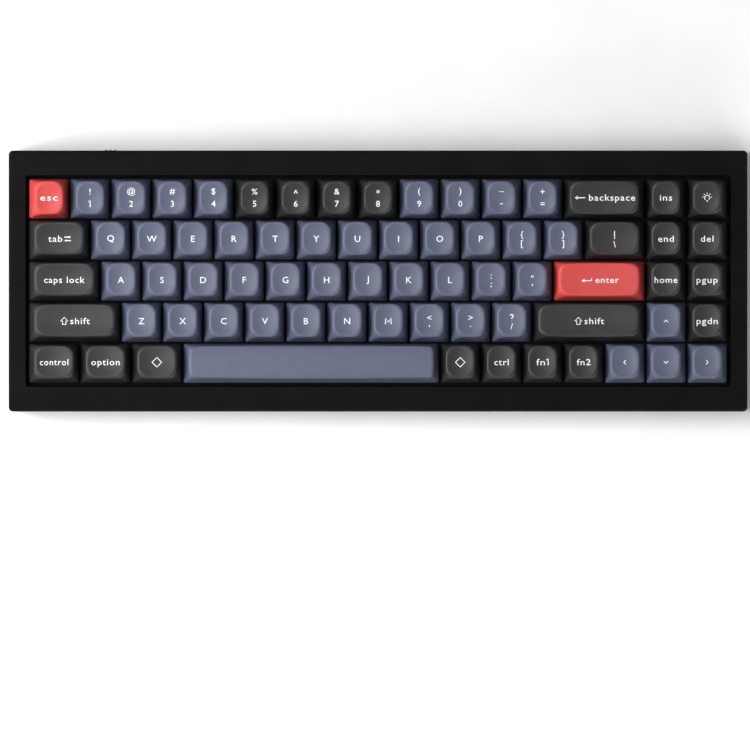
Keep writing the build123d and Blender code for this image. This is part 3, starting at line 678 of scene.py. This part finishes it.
# %% One key's lettering
word_base = -1.35 * MM
pair_places = {0: (3.3 * MM, -2.3 * MM), 1: (2.3 * MM, -2.0 * MM), 2: (2.1 * MM, -1.9 * MM),
               3: (2.1 * MM, -1.9 * MM)}
worded_signs = {
    "backspace": (arrow_left, -11.2, 3.6), "tab": (arrows_tab, 3.9, -1.8),
    "enter": (arrow_return, -5.7, 3.7), "shift": (arrow_up, -4.8, 2.5),
}


def character(mark, size, y):
    """One character, drawn as strokes where the font's own sign is unlike the usual one."""
    if mark in drawn_letters:
        return draw(drawn_letters[mark], 0, y, bold_stroke)
    return write(mark, size, 0, y)


def letter(key):
    """The sign or signs of one key, lying flat round the key's middle."""
    mark, y = key["mark"], legend_lift
    if mark in chevrons:
        return [draw(chevrons[mark], 0, y)]
    if mark == "diamond":
        return [draw(diamond, 0, y)]
    if mark == "lamp":
        return [draw(lamp, 0, y, stroke * 0.85)]
    if mark in worded_signs:
        sign, sign_x, word_x = worded_signs[mark]
        return [draw(sign, sign_x * MM, y), write(mark, word_height, word_x * MM, y, word_base)]
    if mark == "fn1":
        return [write("fn", word_height, -0.9 * MM, y, word_base),
                draw(drawn_letters["1"], 2.5 * MM, 0.65 * MM, bold_stroke)]
    if len(mark) == 2:
        return [character(sign, sign_height, place) for sign, place in zip(mark, pair_places[key["row"]])]
    if len(mark) == 1:
        return [character(mark, letter_height, y)]
    return [write(mark, word_height, 0, y, word_base)]


def drape(sign, cap):
    """Lift each point of a flat sign onto the cap's scooped top."""
    top_point = max(v.co.z for v in sign.data.vertices)
    for vertex in sign.data.vertices:
        over = vertex.co.z - top_point + inlay_proud
        vertex.co.z = cap.top(vertex.co.x, vertex.co.y) + over
    sign.data.transform(Matrix.Translation((0, 0, skirt_level)))


for key in keys:
    if not key["mark"]:
        continue
    sign = join(letter(key), f"legend_{key['number']:02d}")
    drape(sign, Cap(key["row"], key["units"]))
    sign.data.transform(deck @ Matrix.Translation((key["x"], key["y"], 0)))
    sign.matrix_world = Matrix.Identity(4)
    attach(sign, key["body"])
    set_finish(sign, "legend_white")
    key["legend"] = sign
print("lettered keys:", sum("legend" in key for key in keys))

# %% [markdown]
# ## How the finishes are made
# One function turns a hex colour into the linear values that shaders use, and one adds a node with its
# settings and its links. Every pattern reads Object coordinates, scaled from a size in millimetres.

# %% Material helpers
def linear(hex_colour):
    """An sRGB hex colour as the linear values that a shader takes."""
    values = [int(hex_colour[i:i + 2], 16) / 255 for i in (1, 3, 5)]
    return (*[v / 12.92 if v <= 0.04045 else ((v + 0.055) / 1.055) ** 2.4 for v in values], 1)


def add(tree, kind, settings=None, links=None):
    """Add a node; settings are properties or input values, links are sockets by input name."""
    node = tree.nodes.new(kind)
    for name, value in (settings or {}).items():
        if name in node.inputs:
            node.inputs[name].default_value = value
        else:
            setattr(node, name, value)
    for name, socket in (links or {}).items():
        tree.links.new(socket, node.inputs[name])
    return node


def start_material(name):
    """An empty material with its Object coordinates and its shader."""
    material = bpy.data.materials.new(name)
    material.use_nodes = True
    tree = material.node_tree
    tree.nodes.clear()
    place = add(tree, "ShaderNodeTexCoord").outputs["Object"]
    shader = add(tree, "ShaderNodeBsdfPrincipled")
    add(tree, "ShaderNodeOutputMaterial", links={"Surface": shader.outputs["BSDF"]})
    return material, tree, place, shader


def grain(tree, place, size, detail=2.0, stretch=None):
    """Noise whose lumps are about a size across."""
    if stretch:
        place = add(tree, "ShaderNodeMapping", {"Scale": stretch}, {"Vector": place}).outputs["Vector"]
    noise = add(tree, "ShaderNodeTexNoise", {"Scale": 1 / size, "Detail": detail}, {"Vector": place})
    return noise.outputs["Fac"]


def blend_colours(tree, factor, low, high, start=0.35, end=0.65):
    """A ramp from one colour to another over part of a pattern's range."""
    ramp = add(tree, "ShaderNodeValToRGB", links={"Fac": factor})
    ramp.color_ramp.elements[0].position, ramp.color_ramp.elements[1].position = start, end
    ramp.color_ramp.elements[0].color, ramp.color_ramp.elements[1].color = linear(low), linear(high)
    return ramp.outputs["Color"]


def spread(tree, factor, low, high):
    """Map a pattern's 0 to 1 to another range, for roughness."""
    return add(tree, "ShaderNodeMapRange", {"To Min": low, "To Max": high},
               {"Value": factor}).outputs["Result"]


def bump(tree, height, depth):
    """Relief whose hills stand a depth in metres above its valleys."""
    return add(tree, "ShaderNodeBump", {"Distance": depth}, {"Height": height}).outputs["Normal"]


def link(tree, shader, **sockets):
    """Lead patterns into a shader; a socket's name has _ for its spaces."""
    for name, socket in sockets.items():
        tree.links.new(socket, shader.inputs[name.replace("_", " ")])

# %% [markdown]
# ### Moulded keycap plastic
# The caps are PBT, a polyester moulded in a spark-eroded tool. That leaves an even, fine grain of about
# 0.05 mm that scatters light into a broad, soft sheen. The grain is drawn at 0.16 mm, since the real one is
# too fine to see at arm's length, and a slow mottle keeps a large area from looking like paint.

# %% Keycap plastic
def cap_plastic(name, colour, pale, roughness=0.36, depth=0.0):
    """Cap plastic; depth is the share of the light that goes in and comes out elsewhere."""
    material, tree, place, shader = start_material(name)
    mottle = grain(tree, place, 6 * MM, 3)
    texture = grain(tree, place, 0.16 * MM, 2)
    link(tree, shader,
         Base_Color=blend_colours(tree, mottle, colour, pale),
         Roughness=spread(tree, texture, roughness - 0.05, roughness + 0.05),
         Normal=bump(tree, texture, 0.012 * MM))
    shader.inputs["IOR"].default_value = 1.57
    shader.inputs["Subsurface Weight"].default_value = depth
    shader.inputs["Subsurface Scale"].default_value = 4 * MM
    shader.inputs["Subsurface Radius"].default_value = (1.0, 0.25, 0.15)
    return material


finishes = {
    "cap_blue": cap_plastic("moulded PBT, slate blue", "#54596e", "#585d72"),
    "cap_dark": cap_plastic("moulded PBT, charcoal", "#272727", "#2b2b2b", 0.4),
    "cap_red": cap_plastic("moulded PBT, coral red", "#c84744", "#cc4b48", 0.4, 0.6),
    "legend_white": cap_plastic("moulded PBT, warm white", "#eeeeec", "#f3f2f0", 0.5),
}
print("cap finishes:", len(finishes))

# %% [markdown]
# ### Black anodised aluminium
# The case is milled from aluminium, blasted with glass beads and dyed black as it is anodised. The beads
# leave shallow dimples, and the oxide over them is dark but still metallic, so the surface is satin and
# brightens at a low angle. The dimples are drawn at 0.25 mm, coarser than the real 0.1 mm.

# %% Anodised aluminium
def anodised(name, colour, worn):
    """Blasted and dyed aluminium, paler by a little in slow patches."""
    material, tree, place, shader = start_material(name)
    dimples = grain(tree, place, 0.25 * MM, 3)
    drift = grain(tree, place, 25 * MM, 3)
    link(tree, shader,
         Base_Color=blend_colours(tree, drift, colour, worn),
         Roughness=spread(tree, dimples, 0.38, 0.5),
         Normal=bump(tree, dimples, 0.008 * MM))
    shader.inputs["Metallic"].default_value = 1.0
    return material


finishes["case_aluminium"] = anodised("bead-blasted anodised aluminium, black", "#1c1c1d", "#1f1f20")
print("case finish:", finishes["case_aluminium"].name)


# %% [markdown]
# ### Other metals
# Drawn wire and turned screws show fine lines along one direction, so their noise is stretched. Black
# oxide and powder coat are dark skins over steel: the oxide is still metallic, and the powder coat is a
# thin plastic film with the slight orange peel of powder that flowed together in an oven.

# %% Steel, bronze and coats
def metal(name, colour, pale, rough, size, depth, stretch=None):
    """Bare or oxidised metal; size is the pattern's in metres, rough the range of its roughness."""
    material, tree, place, shader = start_material(name)
    lines = grain(tree, place, size, 3, stretch)
    link(tree, shader,
         Base_Color=blend_colours(tree, grain(tree, place, 3 * MM, 2), colour, pale),
         Roughness=spread(tree, lines, *rough),
         Normal=bump(tree, lines, depth))
    shader.inputs["Metallic"].default_value = 1.0
    return material


along_x = (0.08, 1, 1)
finishes["screw_steel"] = metal("turned steel, black oxide", "#303133", "#3b3b3d", (0.32, 0.5),
                                0.12 * MM, 0.006 * MM)
finishes["spring_steel"] = metal("spring steel wire", "#a9abae", "#b8babd", (0.2, 0.34),
                                 0.1 * MM, 0.004 * MM)
finishes["wire_steel"] = metal("drawn steel wire", "#b3b6b9", "#c6c8ca", (0.18, 0.3), 0.1 * MM,
                               0.004 * MM, along_x)
finishes["contact_bronze"] = metal("rolled phosphor bronze", "#b07a45", "#c08a52", (0.25, 0.4),
                                   0.1 * MM, 0.003 * MM)
finishes["port_steel"] = metal("stamped stainless steel", "#96999c", "#a8abae", (0.22, 0.36),
                               0.12 * MM, 0.004 * MM, along_x)
print("metals so far:", len(finishes))

# %% [markdown]
# ### Mouldings, films and boards
# The small plastic parts differ in gloss, grain and how deep light goes into them. Nylon is satin,
# polycarbonate nearly clear and smooth, epoxy matt with a sandy skin, and rubber dull with a fine bloom.
# One function makes them all from those few facts, since each is a moulding with a grain.

# %% Mouldings
def moulding(name, colour, pale, rough, size, depth, ior=1.5, clear=0.0):
    """A moulded or coated surface; size and depth are its grain's, clear its share of clear resin."""
    material, tree, place, shader = start_material(name)
    texture = grain(tree, place, size, 2)
    link(tree, shader,
         Base_Color=blend_colours(tree, grain(tree, place, 8 * MM, 2), colour, pale),
         Roughness=spread(tree, texture, *rough),
         Normal=bump(tree, texture, depth))
    shader.inputs["IOR"].default_value = ior
    shader.inputs["Transmission Weight"].default_value = clear
    return material


finishes.update({
    "plate_steel": moulding("powder-coated steel, black", "#090909", "#0e0e0f", (0.75, 0.9),
                            0.5 * MM, 0.01 * MM),
    "foot_rubber": moulding("moulded silicone rubber", "#131313", "#1a1a1a", (0.72, 0.88),
                            0.3 * MM, 0.015 * MM, 1.42),
    "chip_epoxy": moulding("moulded epoxy", "#151516", "#1c1c1d", (0.6, 0.75), 0.15 * MM, 0.01 * MM, 1.55),
    "switch_housing": moulding("moulded nylon, black", "#0d0d0e", "#131314", (0.36, 0.5),
                               0.2 * MM, 0.006 * MM, 1.53),
    "switch_cover": moulding("smoked polycarbonate", "#101012", "#161618", (0.16, 0.26),
                             0.4 * MM, 0.002 * MM, 1.585),
    "socket_plastic": moulding("glass-filled nylon", "#1a1a1b", "#242425", (0.5, 0.64),
                               0.12 * MM, 0.008 * MM, 1.53),
    "lamp_lens": moulding("cast clear epoxy", "#d9d7cb", "#e6e4da", (0.1, 0.2), 0.4 * MM, 0.001 * MM,
                          1.5, 0.4),
    "toggle_plastic": moulding("moulded acetal, black", "#121213", "#1a1a1b", (0.34, 0.46),
                               0.2 * MM, 0.006 * MM, 1.48),
    "cable_film": moulding("polyimide film", "#3b2614", "#4a3019", (0.25, 0.35), 0.6 * MM, 0.002 * MM, 1.7),
})
print("finishes so far:", len(finishes))

# %% [markdown]
# ### Foam and circuit board
# Foam is a mass of small cells, which a Voronoi pattern gives: its cell borders stand up as thin walls.
# The board is woven glass cloth in resin under a black mask, and the weave still prints through it.

# %% Foam and laminate
def foam(name, colour, pale, cell):
    """Foam whose cells are about a size across."""
    material, tree, place, shader = start_material(name)
    cells = add(tree, "ShaderNodeTexVoronoi", {"Scale": 1 / cell}, {"Vector": place}).outputs["Distance"]
    link(tree, shader,
         Base_Color=blend_colours(tree, cells, pale, colour, 0.1, 0.7),
         Roughness=spread(tree, cells, 0.8, 0.95),
         Normal=bump(tree, cells, cell * 0.15))
    return material


def laminate(name, colour, pale, thread):
    """Two sets of threads at right angles under a glossy mask."""
    material, tree, place, shader = start_material(name)
    waves = [add(tree, "ShaderNodeTexWave", {"Scale": 1 / thread / 20, "bands_direction": way},
                 {"Vector": place}).outputs["Fac"] for way in ("X", "Y")]
    weave = add(tree, "ShaderNodeMath", {"operation": "MULTIPLY"}).outputs["Value"]
    for socket, wave in zip(weave.node.inputs, waves):
        tree.links.new(wave, socket)
    link(tree, shader,
         Base_Color=blend_colours(tree, weave, colour, pale, 0.2, 0.9),
         Roughness=spread(tree, weave, 0.24, 0.36),
         Normal=bump(tree, weave, 0.01 * MM))
    shader.inputs["IOR"].default_value = 1.55
    return material


finishes["gasket_foam"] = foam("closed-cell polyurethane foam", "#1f1f21", "#2c2c2f", 0.35 * MM)
finishes["foam_sheet"] = foam("open-cell sheet foam", "#1b1b1d", "#2b2b2e", 0.5 * MM)
finishes["board_laminate"] = laminate("solder-masked glass laminate", "#0d1113", "#171c1f", 0.5 * MM)
print("finishes:", len(finishes))

# %% [markdown]
# ## Dress every part
# The record says which finish each part of the engineering model has, and each new piece was given its
# own. So one loop over the record and one over the new pieces put a material on everything.

# %% Assign the finishes
def dress(obj, slot):
    """Give an object the finish of its slot and no other."""
    obj.data.materials.clear()
    obj.data.materials.append(finishes[slot])


for part in frame["record"]["subparts"]:
    dress(frame["nodes"][part["node"]], part["material_slot"])
pieces = [obj for obj in bpy.data.objects if obj.type == "MESH" and "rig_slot" in obj]
for piece in pieces:
    dress(piece, piece["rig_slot"])

# %% [markdown]
# ## Floor, light and camera
# The keyboard stands on a pale, plain floor, a hair under the feet so that the two don't flicker. The main
# light is a softbox low on the left, which brightens the left walls of the caps; it is kept out of glossy
# reflections, or it would draw a hard line along every left rim. A broad one high on the left gives each
# scoop its sheen, and a weak one in front fills the shadows. The camera looks square onto the deck from
# 2.5 m away, without perspective.

# %% Floor
bpy.ops.mesh.primitive_plane_add(size=6, location=(0, 0, -0.1 * MM))
floor = bpy.context.object
floor.name = "floor"
paper, tree, place, shader = start_material("matt white paper sweep")
link(tree, shader, Base_Color=blend_colours(tree, grain(tree, place, 40 * MM, 3), "#f4f4f4", "#f8f8f8"))
shader.inputs["Roughness"].default_value = 0.9
floor.data.materials.append(paper)
print("floor size in metres:", tuple(round(v, 2) for v in floor.dimensions))

# %% Lights
def softbox(name, where, width, depth, power):
    """A square-cornered light that faces the keyboard; sizes in metres, power in watts."""
    light = bpy.data.lights.new(name, "AREA")
    light.shape = "RECTANGLE"
    light.size, light.size_y, light.energy = width, depth, power
    lamp_object = bpy.data.objects.new(name, light)
    bpy.context.collection.objects.link(lamp_object)
    way = Vector(where)
    lamp_object.visible_camera = False
    turn = way.to_track_quat("Z", "Y").to_matrix().to_4x4()
    lamp_object.matrix_world = Matrix.Translation(where) @ turn
    return lamp_object


main_light = softbox("main softbox", (-1.1, -0.1, 0.75), 0.7, 0.9, 19)
main_light.visible_glossy = False
softbox("overhead softbox", (-0.9, 0.0, 1.4), 1.0, 1.6, 16)
softbox("fill softbox", (0.6, -1.1, 0.55), 1.0, 0.6, 6)
world = bpy.data.worlds.new("studio")
world.use_nodes = True
background = world.node_tree.nodes["Background"]
background.inputs["Color"].default_value = (1, 1, 1, 1)
background.inputs["Strength"].default_value = 0.22
bpy.context.scene.world = world
bpy.context.scene.view_settings.view_transform = "Standard"

# %% Camera
view_width = 347.3 * MM
view_middle = (-1.4 * MM, -43.5 * MM)
camera_distance = 2.5
camera_data = bpy.data.cameras.new("camera")
camera_data.type = "ORTHO"
camera_data.ortho_scale = view_width
camera = bpy.data.objects.new("camera", camera_data)
bpy.context.collection.objects.link(camera)
camera.matrix_world = deck @ Matrix.Translation((*view_middle, camera_distance))
bpy.context.scene.camera = camera
print("camera at:", tuple(round(v, 3) for v in camera.matrix_world.translation))

# %% [markdown]
# ## The end

# %% Done
print("scene built")
